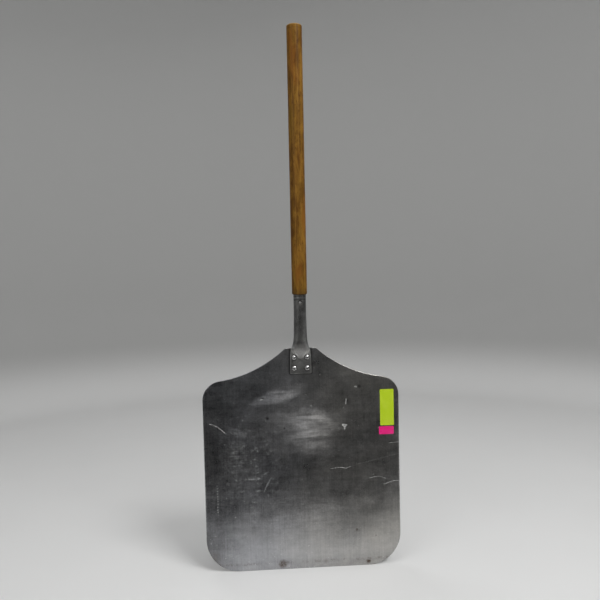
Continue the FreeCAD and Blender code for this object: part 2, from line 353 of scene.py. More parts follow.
def sag(x, z):
    """How far the sheet has bent towards the front: under a millimetre, and nothing under the lug."""
    away = smooth((math.hypot(x, z - FLAT_MIDDLE_Z) - FLAT_RADIUS) / FLAT_FADE)
    slow = noise.noise(Vector((x * 5.0, z * 5.0, 2.3)))
    quick = noise.noise(Vector((x * 16.0, z * 13.0, 7.1)))
    return away * (SAG_MEAN + SAG_SLOW * slow + SAG_QUICK * quick)


def dents(x, z):
    """How deep the dents in the front are here."""
    depth = 0.0
    for dent_x, dent_z, spread, deep in DENTS:
        distance = math.hypot(x - dent_x, z - dent_z)
        if distance < 3 * spread:
            depth += deep * bell(distance, spread)
    return depth


def blade_front(x, z):
    """y of the blade's front surface."""
    bevel = BEVEL_DEPTH * max(0.0, 1.0 - z / BEVEL_WIDTH)
    return FRONT_Y + bevel - sag(x, z) + dents(x, z)


def blade_back(x, z):
    """y of the blade's back surface."""
    return BACK_Y - BACK_INSET - sag(x, z) + min(dents(x, z), sag(x, z))


def make_blade():
    """The sheet, with its bend, its dents and its bevelled leading edge."""
    side = blade_side(BLADE_STEP)
    columns = round(2 * BLADE_HALF / BLADE_STEP)
    points, faces = sheet_shape(side, columns, 0.0, 0.0, blade_front, blade_back, BLADE_EDGE)
    return new_piece("peel_blade", points, faces, blade_material(), "blade")


# Socket sections: height, half width, depth, half width of the bulge, and how far it is a round tube, in mm
SOCKET_SECTIONS = (
    (360.4, 19.2, 3.0, 0.4, 0.0),
    (384.0, 18.8, 3.0, 0.6, 0.0),
    (388.0, 18.7, 3.7, 3.4, 0.0),
    (395.0, 18.4, 7.0, 10.8, 0.0),
    (402.0, 17.8, 10.4, 16.4, 0.03),
    (407.0, 16.3, 12.6, 16.2, 0.2),
    (412.0, 14.4, 14.5, 14.2, 0.5),
    (419.0, 12.9, 17.0, 12.9, 0.85),
    (428.0, 12.1, 19.5, 12.1, 1.0),
    (440.0, 11.7, 21.2, 11.7, 1.0),
    (452.0, 11.4, 21.8, 11.4, 1.0),
    (470.0, 11.1, 22.2, 11.1, 1.0),
    (506.0, 11.1, 22.2, 11.1, 1.0),
)
SOCKET_POINTS = 96
FOLD_SQUARENESS = 9.0


def section_at(z):
    """The socket section's values at height z, on smooth curves through the rows above, in metres."""
    rows = SOCKET_SECTIONS
    z = z / MM
    k = 0
    while k < len(rows) - 2 and z > rows[k + 1][0]:
        k += 1
    before, low, high, after = rows[max(k - 1, 0)], rows[k], rows[k + 1], rows[min(k + 2, len(rows) - 1)]
    span = high[0] - low[0]
    t = min(max((z - low[0]) / span, 0.0), 1.0)
    values = []
    for i in range(1, 5):
        enter = span * (high[i] - before[i]) / (high[0] - before[0])
        leave = span * (after[i] - low[i]) / (after[0] - low[0])
        values.append((2 * t**3 - 3 * t**2 + 1) * low[i] + (t**3 - 2 * t**2 + t) * enter
                      + (3 * t**2 - 2 * t**3) * high[i] + (t**3 - t**2) * leave)
    half, depth, bulge, roundness = values
    return half * MM, depth * MM, max(bulge, 0.1) * MM, min(max(roundness, 0.0), 1.0)


def socket_outline(z, shrink=0.0, thin=0.0):
    """Offsets across and outward from the middle of the socket's back, all round it at height z."""
    half, depth, bulge, roundness = section_at(z)
    half -= shrink
    found = []
    for i in range(SOCKET_POINTS):
        turn = 2 * math.pi * i / SOCKET_POINTS
        x = half * math.cos(turn)
        share = abs(x / half)
        circle = math.sqrt(max(1 - share**2, 0.0))
        flat = max(1 - share**FOLD_SQUARENESS, 0.0) ** (1 / FOLD_SQUARENESS)
        side = 1.0 if math.sin(turn) >= 0 else -1.0
        plate = LUG_THICKNESS / 2 + side * (LUG_THICKNESS / 2 - thin) * flat
        if side > 0:
            plate += (depth - LUG_THICKNESS) * smooth((1 - abs(x) / bulge) / 0.34)
        tube = depth / 2 + side * depth / 2 * circle
        found.append((x, plate * (1 - roundness) + tube * roundness))
    return found


def socket_point(x, out, z):
    """A point of the socket, from its offsets at height z."""
    if z <= BEND_Z:
        return Vector((x, FRONT_Y - out, z))
    foot = on_axis((z - BEND_Z) / math.cos(TILT)) - OUTWARD * TUBE_RADIUS
    return foot + ACROSS * x + OUTWARD * out


def roll_groove(z):
    """How deep the two rolled grooves near the mouth are at height z."""
    depth = 0.0
    for drop in GROOVE_DROPS:
        depth += GROOVE_DEPTH * bell(z - (MOUTH_Z - drop), GROOVE_SPREAD)
    return depth


def pin_place(height):
    """A point on the retaining pin's axis, this far out from the handle's axis."""
    return on_axis(MOUTH_S - PIN_DROP) + OUTWARD * height


def dimpled(point):
    """The point, pressed in if it is near the retaining pin's head."""
    offset = point - pin_place(TUBE_RADIUS)
    if offset.dot(OUTWARD) < -0.5 * TUBE_RADIUS:
        return point
    flat = offset - OUTWARD * offset.dot(OUTWARD)
    depth = DIMPLE_DEPTH * smooth(1.15 - flat.length / DIMPLE_RADIUS)
    return point - OUTWARD * depth


def socket_heights():
    """The heights of the socket's rings, closer together at the lug's foot and near the mouth."""
    heights = [LUG_BOTTOM_Z + d * MM for d in (0.0, 0.2, 0.5, 0.9, 1.5)]
    z = heights[-1]
    while z < MOUTH_Z - MOUTH_ZONE:
        z += SOCKET_STEP
        heights.append(z)
    while z < MOUTH_Z - 1.2 * MOUTH_STEP:
        z += MOUTH_STEP
        heights.append(z)
    return heights + [MOUTH_Z]


def make_socket():
    """The tube with its flat lug. The bore inside its mouth ends just below the tenon's foot."""
    rings = []
    corner = LUG_CORNER_RADIUS
    for z in socket_heights():
        into = min(z - LUG_BOTTOM_Z, corner)
        shrink = corner - math.sqrt(corner**2 - (corner - into) ** 2)
        thin = max(LUG_EDGE - (z - LUG_BOTTOM_Z), 0.0)
        ring = []
        for x, out in socket_outline(z, shrink, thin):
            point = socket_point(x, out, z)
            if z > MOUTH_Z - MOUTH_ZONE:
                spoke = point - on_axis((z - BEND_Z) / math.cos(TILT))
                point = dimpled(point - spoke.normalized() * roll_groove(z))
            ring.append(point)
        rings.append(ring)
    for s, radius in ((MOUTH_S, BORE_RADIUS + 0.2 * MM), (MOUTH_S - 0.4 * MM, BORE_RADIUS),
                      (MOUTH_S - TENON_LENGTH - 2 * MM, BORE_RADIUS)):
        rings.append(circle_ring(on_axis(s), radius, SOCKET_POINTS))
    return ring_piece("crushed_tube_socket", rings, socket_material(), "handle_socket")


def circle_ring(centre, radius, count, first=ACROSS, second=OUTWARD, wobble=None):
    """Points round a circle; wobble gives a change of radius for an angle."""
    ring = []
    for i in range(count):
        turn = 2 * math.pi * i / count
        r = radius + (wobble(turn) if wobble else 0.0)
        ring.append(centre + first * (r * math.cos(turn)) + second * (r * math.sin(turn)))
    return ring


def dowel_profile():
    """Distance along the axis and radius, from the tenon's foot to the free end."""
    foot = MOUTH_S - TENON_LENGTH
    tenon = BORE_RADIUS - TENON_GAP
    rows = [(foot, tenon - TENON_CHAMFER), (foot + TENON_CHAMFER, tenon), (MOUTH_S - 0.02 * MM, tenon)]
    rows += [(MOUTH_S, tenon + 0.2 * MM), (MOUTH_S, DOWEL_RADIUS - DOWEL_CHAMFER)]
    rows += [(MOUTH_S + 0.35 * MM, DOWEL_RADIUS - 0.3 * MM), (MOUTH_S + DOWEL_CHAMFER, DOWEL_RADIUS)]
    s = MOUTH_S + DOWEL_STEP
    groove = END_S - END_RING_DROP
    while s < groove - 2 * MM:
        rows.append((s, DOWEL_RADIUS))
        s += DOWEL_STEP
    for offset, depth in ((-1.2, 0.0), (-0.5, 0.04), (0.0, 0.09), (0.5, 0.04), (1.2, 0.0), (2.6, 0.0)):
        rows.append((groove + offset * MM, DOWEL_RADIUS - depth * MM))
    end = DOWEL_END_RADIUS
    for i in range(9):
        a = math.pi / 2 * i / 8
        rows.append((END_S - end + end * math.sin(a), DOWEL_RADIUS - end + end * math.cos(a)))
    rows.append((END_S, DOWEL_RADIUS * 0.4))
    return rows


def make_handle():
    """The dowel with its tenon, worn a tenth of a millimetre here and there."""
    count = 64
    rings = []
    for s, radius in dowel_profile():
        def worn(turn, s=s, radius=radius):
            if radius < DOWEL_RADIUS * 0.8:
                return 0.0
            spot = Vector((1.3 * math.cos(turn), 1.3 * math.sin(turn), s * 11.0))
            slow = noise.noise(spot)
            quick = noise.noise(Vector((spot.x * 3, spot.y * 3, s * 60.0)))
            return WEAR_DEPTH * (slow - 1.0 + 0.4 * quick)
        rings.append(circle_ring(on_axis(s), radius, count, wobble=worn))
    return ring_piece("wooden_dowel_handle", rings, wood_material(), "wooden_handle")


def rivet_profile():
    """Radius and y of a rivet's outline, from near the top of its dome to its tail."""
    lug_front = FRONT_Y - LUG_THICKNESS
    top = lug_front - RIVET_RIM - RIVET_DOME
    ball = (RIVET_HEAD_RADIUS**2 + RIVET_DOME**2) / (2 * RIVET_DOME)
    edge = math.asin(RIVET_HEAD_RADIUS / ball)
    rows = []
    for i in range(1, 10):
        a = edge * i / 9
        rows.append((ball * math.sin(a), top + ball * (1 - math.cos(a))))
    rows += [(RIVET_HEAD_RADIUS * 0.985, lug_front), (RIVET_SHANK_RADIUS, lug_front + 0.02 * MM)]
    rows += [(RIVET_SHANK_RADIUS, BACK_Y - RIVET_TAIL_DEPTH), (RIVET_TAIL_RADIUS, BACK_Y - 0.06 * MM)]
    rows += [(3.4 * MM, BACK_Y - 0.01 * MM), (2.0 * MM, BACK_Y - 0.05 * MM)]
    return rows


def make_rivet(node, seed):
    """A domed rivet, a little uneven from the hammer, with its tail spread flush with the blade's back."""
    middle = middle_of(node)
    count = 40
    rings = []
    for radius, y in rivet_profile():
        def uneven(turn, radius=radius, y=y):
            spot = Vector((math.cos(turn), math.sin(turn), seed + y * 40))
            return radius * RIVET_UNEVEN * noise.noise(spot)
        centre = Vector((middle.x, y, middle.z))
        rings.append(circle_ring(centre, radius, count, ACROSS, Vector((0, 0, 1)), uneven))
    return ring_piece(f"domed_{node}", rings, RIVET_METAL, node)


def make_pin():
    """The nail that holds the tenon."""
    count = 32
    rings = []
    for radius, out in PIN_OUTLINE:
        centre = pin_place(BORE_RADIUS - PIN_SINK + out * MM)
        rings.append(circle_ring(centre, radius * MM, count, ACROSS, AXIS))
    return ring_piece("tenon_nail", rings, steel_material(), "retaining_pin")


def make_label(node, material, lift_seed):
    """A paper label that follows the blade, with a corner and an edge a little lifted."""
    low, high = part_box(node)
    half = (high.x - low.x) / 2
    height = high.z - low.z
    middle = (low.x + high.x) / 2

    def lift(x, z):
        across = abs(x - middle) / half
        up = (z - low.z) / height
        if x > middle:
            corner = smooth((across + up - 1.72) / 0.3)
        else:
            corner = smooth((across + 1 - up - 1.8) / 0.25)
        crease = noise.noise(Vector((x * 90, z * 90, lift_seed)))
        return LABEL_GAP + LABEL_LIFT * corner + LABEL_CREASE * max(crease, 0.0)

    def back(x, z):
        return blade_front(x, z) - lift(x, z)

    def front(x, z):
        return back(x, z) - PAPER_THICKNESS

    side = label_side(half, height, LABEL_CORNER_RADIUS, LABEL_STEP)
    points, faces = sheet_shape(side, 22, middle, low.z, front, back, 0.03 * MM)
    return new_piece(node.replace("lot_label", "paper_label"), points, faces, material, node)


# ---------------------------------------------------------------- materials
# Lengths in the shaders are in metres, and a noise's scale is per metre.


class Shader:
    """Short ways to add and join the nodes of one material."""

    def __init__(self, name):
        self.material = bpy.data.materials.new(name)
        self.material.use_nodes = True
        self.nodes = self.material.node_tree.nodes
        self.links = self.material.node_tree.links
        self.surface = self.nodes["Principled BSDF"]

    def put(self, socket, value):
        """Joins a socket to an output, or sets it to a plain value."""
        if isinstance(value, bpy.types.NodeSocket):
            self.links.new(value, socket)
        else:
            socket.default_value = value

    def place(self):
        return self.nodes.new("ShaderNodeTexCoord").outputs["Object"]

    def mapped(self, vector, scale=(1, 1, 1), rotation=(0, 0, 0), location=(0, 0, 0)):
        node = self.nodes.new("ShaderNodeMapping")
        self.links.new(vector, node.inputs["Vector"])
        node.inputs["Scale"].default_value = scale
        node.inputs["Rotation"].default_value = rotation
        node.inputs["Location"].default_value = location
        return node.outputs["Vector"]

    def noise(self, vector, scale=1.0, detail=4.0, roughness=0.55, distortion=0.0):
        node = self.nodes.new("ShaderNodeTexNoise")
        self.links.new(vector, node.inputs["Vector"])
        node.inputs["Scale"].default_value = scale
        node.inputs["Detail"].default_value = detail
        node.inputs["Roughness"].default_value = roughness
        node.inputs["Distortion"].default_value = distortion
        return node.outputs["Fac"]

    def math(self, operation, a, b=0.0, clamp=False):
        node = self.nodes.new("ShaderNodeMath")
        node.operation = operation
        node.use_clamp = clamp
        self.put(node.inputs[0], a)
        self.put(node.inputs[1], b)
        return node.outputs[0]

    def spread(self, value, low, high, to_low=0.0, to_high=1.0):
        """Eases value from one range to another."""
        node = self.nodes.new("ShaderNodeMapRange")
        node.interpolation_type = "SMOOTHSTEP"
        self.links.new(value, node.inputs["Value"])
        node.inputs["From Min"].default_value = low
        node.inputs["From Max"].default_value = high
        node.inputs["To Min"].default_value = to_low
        node.inputs["To Max"].default_value = to_high
        return node.outputs["Result"]

    def fade(self, value, low, high):
        """1 up to low, easing to 0 at high."""
        return self.spread(value, low, high, 1.0, 0.0)

    def stretched(self, vector, scale, detail, roughness=0.55, distortion=0.0, turn=0.0,
                  location=(0, 0, 0)):
        """Noise with a scale for each axis, turned about y, from a place of its own."""
        place = self.mapped(vector, scale, (0, turn, 0), location)
        return self.noise(place, 1.0, detail, roughness, distortion)

    def vector(self, operation, a, b=None, scale=None):
        node = self.nodes.new("ShaderNodeVectorMath")
        node.operation = operation
        self.put(node.inputs[0], a)
        if b is not None:
            self.put(node.inputs[1], b)
        if scale is not None:
            self.put(node.inputs["Scale"], scale)
        return node.outputs["Value" if operation in ("DOT_PRODUCT", "LENGTH", "DISTANCE") else "Vector"]

    def coordinate(self, vector, axis):
        """How far a vector reaches along an axis."""
        return self.vector("DOT_PRODUCT", vector, axis)

    def split(self, vector):
        node = self.nodes.new("ShaderNodeSeparateXYZ")
        self.links.new(vector, node.inputs[0])
        return node.outputs[0], node.outputs[1], node.outputs[2]

    def mix(self, share, a, b, blend="MIX"):
        node = self.nodes.new("ShaderNodeMix")
        node.data_type = "RGBA"
        node.blend_type = blend
        self.put(node.inputs[0], share)
        self.put(node.inputs[6], (*a, 1) if isinstance(a, tuple) else a)
        self.put(node.inputs[7], (*b, 1) if isinstance(b, tuple) else b)
        return node.outputs[2]

    def grey(self, value):
        node = self.nodes.new("ShaderNodeCombineColor")
        for i in range(3):
            self.links.new(value, node.inputs[i])
        return node.outputs[0]

    def streak(self, place, start, end, half_width):
        """1 on the line from start to end, falling to 0 at half_width to its sides."""
        start, end = Vector(start), Vector(end)
        along = end - start
        offset = self.vector("SUBTRACT", place, tuple(start))
        share = self.coordinate(offset, tuple(along / along.length_squared))
        share = self.math("MULTIPLY", share, 1.0, clamp=True)
        nearest = self.vector("SCALE", tuple(along), scale=share)
        distance = self.vector("DISTANCE", offset, nearest)
        return self.fade(distance, half_width * 0.25, half_width)

    def spot(self, place, centre, inner, outer):
        """1 within inner of centre, falling to 0 at outer."""
        return self.fade(self.vector("DISTANCE", place, tuple(centre)), inner, outer)

    def oval(self, place, middle, half_length, half_height, slope):
        """1 in the middle of a tilted oval, falling to 0 at its edge."""
        offset = self.vector("SUBTRACT", place, (middle[0], 0, middle[1]))
        along = Vector((1, 0, slope)).normalized() / half_length
        upward = Vector((-slope, 0, 1)).normalized() / half_height
        parts = [self.coordinate(offset, tuple(axis)) for axis in (along, upward)]
        squares = [self.times(part, part) for part in parts]
        return self.fade(self.sum(*squares), 0.0, 1.0)

    def vary(self, value, amount):
        """The value's swing about a half, made this large."""
        return self.times(self.math("SUBTRACT", value, 0.5), amount)

    def sum(self, first, *others):
        for value in others:
            first = self.math("ADD", first, value)
        return first

    def times(self, first, *others):
        for value in others:
            first = self.math("MULTIPLY", first, value)
        return first

    def away(self, value, middle):
        """How far the value is from the middle."""
        return self.math("ABSOLUTE", self.math("SUBTRACT", value, middle))

    def total(self, values):
        """The largest value. Each is joined as soon as it is made, because Cycles can hold only so many."""
        values = iter(values)
        found = next(values)
        for value in values:
            found = self.math("MAXIMUM", found, value)
        return found

    def relief(self, height, strength, distance):
        node = self.nodes.new("ShaderNodeBump")
        node.inputs["Strength"].default_value = strength
        node.inputs["Distance"].default_value = distance
        self.links.new(height, node.inputs["Height"])
        return node.outputs["Normal"]

    def finish(self, color, roughness, normal=None, **constants):
        self.put(self.surface.inputs["Base Color"], color)
        self.put(self.surface.inputs["Roughness"], roughness)
        if normal is not None:
            self.links.new(normal, self.surface.inputs["Normal"])
        for name, value in constants.items():
            self.put(self.surface.inputs[name.replace("_", " ")], value)
        return self.material


# Where the blade's back takes its noises from, so that it doesn't mirror the front
BACK_OFFSET = (0.43, 0.0, 0.71)


class BladeShader(Shader):
    """Worn aluminium sheet, with the places and noises that its layers share."""

    def __init__(self):
        super().__init__("worn_blade_aluminium")
        self.everywhere = self.place()
        self.x = self.coordinate(self.everywhere, (1, 0, 0))
        self.z = self.coordinate(self.everywhere, (0, 0, 1))
        normal = self.nodes.new("ShaderNodeNewGeometry").outputs["Normal"]
        self.facing = self.coordinate(normal, (0, 1, 0))
        self.in_front = self.fade(self.facing, -0.4, 0.4)
        aside = self.vector("SCALE", BACK_OFFSET, scale=self.math("SUBTRACT", 1.0, self.in_front))
        self.own = self.vector("MULTIPLY", self.everywhere, (1.0, 0.0, 1.0))
        self.flat = self.vector("ADD", self.own, aside)
        drift = self.vary(self.noise(self.flat, 55.0, 2.0), 0.0045)
        self.drift = self.vector("SCALE", (1, 0, 1), scale=drift)

        self.broad = self.stretched(self.flat, (6, 1, 8), 4.0, 0.55, 0.4, 0.15)
        self.clouds = self.stretched(self.flat, (20, 1, 25), 5.0, 0.62, 0.3, 0.10)
        self.blotch = self.stretched(self.flat, (85, 1, 110), 5.0, 0.68)
        self.rubbed = self.stretched(self.flat, (16, 1, 170), 4.0, 0.6, 0.0, 0.06)
        self.grain = self.stretched(self.everywhere, (420, 420, 16), 4.0, 0.6)
        self.speckle = self.noise(self.everywhere, 330.0, 4.0, 0.75)

    def stretched_spot(self, stretch, centre, inner, outer):
        """A spot on the sheet that is flatter than it is wide, or the other way round."""
        return self.spot(self.vector("MULTIPLY", self.flat, stretch), centre, inner, outer)

    def smears(self, haze):
        """Pale wipes with soft, wispy edges, and a little of the haze round them."""
        wipe = self.stretched(self.flat, (9, 1, 40), 5.0, 0.6, 0.9, 0.10)
        across = self.vector("SCALE", (1, 0, 0), scale=self.vary(self.clouds, 0.020))
        rise = self.vary(self.noise(self.flat, 19.0, 3.0), 0.030)
        swirled = self.vector("ADD", self.flat, across)
        swirled = self.vector("ADD", swirled, self.vector("SCALE", (0, 0, 1), scale=rise))
        areas = self.times(haze, 0.45)
        for middle, length, height, slope, strength in SMEARS:
            oval = self.oval(swirled, middle, length, height, slope)
            areas = self.sum(areas, self.times(oval, strength))
        wisps = self.sum(self.times(wipe, 0.65), self.times(self.rubbed, 0.35))
        return self.math("MULTIPLY", areas, self.spread(wisps, 0.33, 0.68, 0.08, 1.0), clamp=True)

    def oxide(self, haze, smears):
        """Mottled grey: darker at the left edge, and cooler on the left than on the right."""
        mottling = self.sum(self.vary(self.clouds, 0.55), self.vary(self.blotch, 0.36),
                            self.vary(self.speckle, 0.42), self.vary(self.rubbed, 0.20))
        mottling = self.times(mottling, self.spread(self.z, 0.03, 0.13, 0.45, 1.0))
        left_dark = self.spread(self.x, -0.176, -0.100, -0.20, 0.0)
        tone = self.sum(mottling, self.vary(self.broad, 0.45), self.vary(self.grain, 0.20),
                        self.times(smears, 0.20))
        tone = self.sum(tone, 0.465, left_dark, self.times(haze, 0.06))
        tone = self.times(tone, self.spread(self.z, 0.010, 0.032, 0.86, 1.0))
        warmth = self.spread(self.x, -0.13, 0.12, 0.0, 0.7)
        warmth = self.math("ADD", warmth, self.vary(self.broad, 1.2), clamp=True)
        tint = self.mix(warmth, (0.98, 0.99, 1.03), (1.05, 1.01, 0.93))
        return self.mix(1.0, self.grey(tone), tint, "MULTIPLY")

    def scratches_and_highlights(self):
        """The front's scratches and the painted highlights on its dents, a little wavy and broken."""
        wavy = self.vector("ADD", self.own, self.drift)
        lines = (self.times(self.streak(wavy, (x0, 0, z0), (x1, 0, z1), half_width), strength)
                 for points, half_width, strength in SCRATCH_AND_HIGHLIGHT_STROKES
                 for (x0, z0), (x1, z1) in zip(points, points[1:]))
        marks = self.times(self.total(lines), self.in_front)
        broken = self.spread(self.noise(self.everywhere, 420.0, 2.0), 0.35, 0.55, 0.35, 1.0)
        return self.times(marks, broken)

    def dashes(self):
        """A column of short dashes near the left edge: painted highlights on a row of small dents."""
        from_column = self.math("ABSOLUTE", self.sum(self.x, 0.1557, self.vary(self.blotch, 0.005)))
        from_middle = self.away(self.z, 0.135)
        beat = self.times(self.sum(self.z, self.vary(self.blotch, 0.006)), 205.0)
        column = self.times(self.fade(from_column, 0.0006, 0.0017), self.fade(from_middle, 0.022, 0.030))
        return self.times(column, self.spread(self.math("FRACT", beat), 0.55, 0.75))

    def hatching(self):
        """Faint level lines that a scraper left on the left side."""
        wave = self.times(self.sum(self.z, self.vary(self.blotch, 0.004)), 1450.0)
        lines = self.spread(self.math("SINE", wave), 0.2, 0.95)
        lines = self.times(lines, self.spread(self.blotch, 0.42, 0.62))
        area = self.stretched_spot((1.6, 0.0, 1.0), (-0.186, 0, 0.208), 0.010, 0.040)
        return self.times(lines, area)

    def flaking(self):
        """Specks where the haze has come off, most of them on the left."""
        flakes = self.spread(self.stretched(self.flat, (90, 1, 120), 7.0, 0.85), 0.52, 0.64)
        area = self.stretched_spot((1.0, 0.0, 0.7), (-0.095, 0, 0.135), 0.010, 0.085)
        return self.times(flakes, self.sum(self.times(area, 0.48), 0.08))

    def bright_marks(self):
        """Everything painted bright: fresh metal in scratches, hairlines, nicks, hatching and flakes, and
        painted highlights on the dents and in the dashes.
        """
        marks = self.math("MAXIMUM", self.scratches_and_highlights(), self.flaking())
        hair = self.stretched(self.flat, (30, 1, 900), 3.0, 0.7, 0.0, 0.12)
        hair = self.times(self.spread(hair, 0.64, 0.74), self.spread(self.clouds, 0.45, 0.6))
        marks = self.math("MAXIMUM", marks, self.times(hair, 0.25))
        nicks = self.spread(self.noise(self.mapped(self.flat, (1, 1, 1.6)), 190.0, 1.0), 0.71, 0.77)
        marks = self.math("MAXIMUM", marks, self.times(nicks, 0.6))
        lines = self.math("MAXIMUM", self.times(self.dashes(), 0.5), self.times(self.hatching(), 0.40))
        return self.math("MAXIMUM", marks, self.times(lines, self.in_front))

    def painted_dent_shade(self):
        """Painted shade in the deeper dents of the front, set towards each dent's upper right."""
        shade = self.total(
            self.spot(self.own, (x + 0.3 * spread, 0, z + 0.3 * spread), 0.2 * spread, 1.2 * spread)
            for x, z, spread, depth in DENTS if depth > PIT_DEPTH)
        patchy = self.spread(self.speckle, 0.3, 0.6, 0.2, 0.7)
        return self.times(shade, self.times(self.in_front, patchy))

    def residue(self):
        """Baked-on spots, and a broken stain where the bevel starts."""
        drawn = self.vector("ADD", self.flat, self.drift)
        baked = self.total(self.times(self.spot(drawn, centre, inner, outer), strength)
                           for centre, inner, outer, strength in BAKED_SPOTS)
        baked = self.times(baked, self.spread(self.blotch, 0.38, 0.54, 0.45, 1.0))
        from_band = self.away(self.z, BEVEL_WIDTH + 0.0015)
        band = self.fade(from_band, 0.0002, 0.0042)
        gaps = self.stretched(self.everywhere, (85, 1, 60), 6.0, 0.8)
        stain = self.times(band, self.spread(gaps, 0.46, 0.66, 0.0, 0.62))
        spots = self.spread(self.speckle, 0.30, 0.58, 0.25, 1.0)
        return self.times(self.math("MAXIMUM", baked, stain), spots, self.in_front)

    def lug_dirt_and_shade(self):
        """Dirt and painted shade on the blade's front along the lug's edges."""
        beside = self.spread(self.math("ABSOLUTE", self.x), 0.0190, 0.0235, 0.65, 0.0)
        above_foot = self.spread(self.z, LUG_BOTTOM_Z - 0.0035, LUG_BOTTOM_Z)
        return self.times(beside, above_foot, self.in_front)


def blade_material():
    """Worn aluminium sheet: cloudy oxide, pale smears, scratches, baked-on residue, and painted light:
    highlights and shade on the dents, shade on the rim and, with dirt, along the lug.
    """
    s = BladeShader()
    haze = s.stretched_spot((1.0, 0.0, 1.2), (0.008, 0, 0.318), 0.0, 0.095)
    smears = s.smears(haze)
    bright = s.bright_marks()
    residue = s.residue()
    # Painted shade: the sheet's rim is darkened and roughened, so that its edge shows little highlight
    rim = s.spread(s.math("ABSOLUTE", s.facing), 0.55, 0.93, 0.75, 0.0)
    color = s.oxide(haze, smears)
    # Painted shade in the deeper dents
    color = s.mix(s.painted_dent_shade(), color, (0.10, 0.096, 0.092))
    color = s.mix(bright, color, (0.86, 0.86, 0.84))
    color = s.mix(residue, color, (0.075, 0.045, 0.028))
    # Dirt and painted shade along the lug's edges
    color = s.mix(s.lug_dirt_and_shade(), color, (0.06, 0.055, 0.05))
    color = s.mix(rim, color, (0.17, 0.17, 0.165))

    rough = s.sum(s.vary(s.clouds, 0.22), 0.31, s.times(smears, 0.12))
    rough = s.sum(rough, s.times(bright, 0.25), s.times(residue, 0.35))
    rough = s.sum(rough, s.times(rim, 0.25))
    metal = s.sum(0.965, s.times(bright, -0.42), s.times(smears, -0.27))
    metal = s.math("SUBTRACT", metal, s.times(residue, 0.8), clamp=True)
    height = s.sum(s.times(s.grain, 0.5), s.times(s.speckle, 0.5))
    height = s.sum(height, s.times(s.blotch, 0.6))
    return s.finish(color, rough, s.relief(height, 0.25, 0.00014), Metallic=metal, Anisotropic=0.25)


def socket_material():
    """Drawn tube, dulled: fine lines along it and grime at the mouth, with painted light: highlights along
    the lug's edges, a reflection in a rubbed band on the bend, and shade round the rivets, in the grooves
    and in the nail's dimple.
    """
    s = Shader("dull_tube_aluminium")
    place = s.place()
    x, y, z = s.split(place)
    clouds = s.noise(place, 45.0, 4.0, 0.6)
    drawn = s.stretched(place, (700, 700, 22), 3.0, 0.6)
    speckle = s.noise(place, 420.0, 4.0, 0.7)
    # A rubbed band on the bend, paler both for wear and as a painted reflection
    worn = s.times(s.spread(z, 0.384, 0.396), s.fade(z, 0.404, 0.418))
    tone = s.sum(s.vary(clouds, 0.55), s.vary(drawn, 0.20), s.vary(speckle, 0.34), 0.38)
    # Painted highlights: a light line along the lug's lower edge and down its sides
    foot = s.spread(z, LUG_BOTTOM_Z + 0.0003, LUG_BOTTOM_Z + 0.0018, 0.22, 0.0)
    flank_highlight = s.spread(s.math("ABSOLUTE", x), 0.0172, 0.0186, 0.0, 0.16)
    flank_highlight = s.times(flank_highlight, s.fade(z, 0.392, 0.400))
    tone = s.sum(tone, s.math("MAXIMUM", foot, flank_highlight))
    tone = s.sum(tone, s.times(worn, 0.40), s.times(s.spread(z, 0.420, 0.445), -0.11),
                 s.times(s.spread(z, 0.465, 0.490), -0.05))
    color = s.mix(1.0, s.grey(tone), (1.0, 0.99, 0.96), "MULTIPLY")
    flat = s.vector("MULTIPLY", place, (1.0, 0.0, 1.0))
    # Painted shade round the rivet heads
    rivet_shade = s.total(s.spot(flat, (middle.x, 0, middle.z), RIVET_HEAD_RADIUS, 1.5 * RIVET_HEAD_RADIUS)
                     for middle in map(middle_of, RIVETS))
    on_lug = s.fade(z, 0.400, 0.404)
    grime_and_shade = s.times(rivet_shade, on_lug, 0.7)
    mouth = s.spread(z, MOUTH_Z - 0.0025, MOUTH_Z, 0.0, 0.6)
    pin_z = pin_place(TUBE_RADIUS).z
    # Painted shade in the dimple round the nail's head
    dimple_shade = s.spot(flat, (0, 0, pin_z), 0.0034, 0.0052)
    dimple_shade = s.times(dimple_shade, s.spread(y, 0.000, 0.004, 0.75, 0.0))
    # Painted shade in the rolled grooves
    rolled = [s.spread(s.away(z, MOUTH_Z - drop), 0.0004, 0.0013, 0.6, 0.0) for drop in GROOVE_DROPS]
    # Grime at the mouth, together with the painted shade above
    grime_and_shade = s.total([grime_and_shade, mouth, dimple_shade] + rolled)
    color = s.mix(grime_and_shade, color, (0.05, 0.045, 0.04))
    rough = s.sum(s.vary(clouds, 0.25), 0.40, s.times(grime_and_shade, 0.25))
    height = s.sum(s.times(drawn, 0.6), s.times(speckle, 0.4))
    return s.finish(color, rough, s.relief(height, 0.25, 0.00012), Metallic=0.95)


def rivet_material():
    """Soft aluminium, rubbed bright on the domes and hammered by hand."""
    s = Shader("bright_rivet_aluminium")
    place = s.place()
    clouds = s.noise(place, 240.0, 3.0, 0.6)
    facets = s.noise(place, 620.0, 1.0, 0.4)
    tone = s.sum(s.times(clouds, 0.30), 0.46)
    color = s.mix(1.0, s.grey(tone), (1.0, 0.995, 0.98), "MULTIPLY")
    rough = s.sum(s.times(clouds, 0.18), 0.20)
    return s.finish(color, rough, s.relief(facets, 0.15, 0.00025), Metallic=1.0)


def steel_material():
    """A steel nail's head, with a little rust round it."""
    s = Shader("nail_steel")
    place = s.place()
    rust = s.spread(s.noise(place, 900.0, 4.0, 0.7), 0.56, 0.72)
    color = s.mix(rust, (0.86, 0.85, 0.83), (0.20, 0.125, 0.080))
    rough = s.sum(s.times(rust, 0.4), 0.30)
    return s.finish(color, rough, s.relief(rust, 0.3, 0.0001), Metallic=0.9)


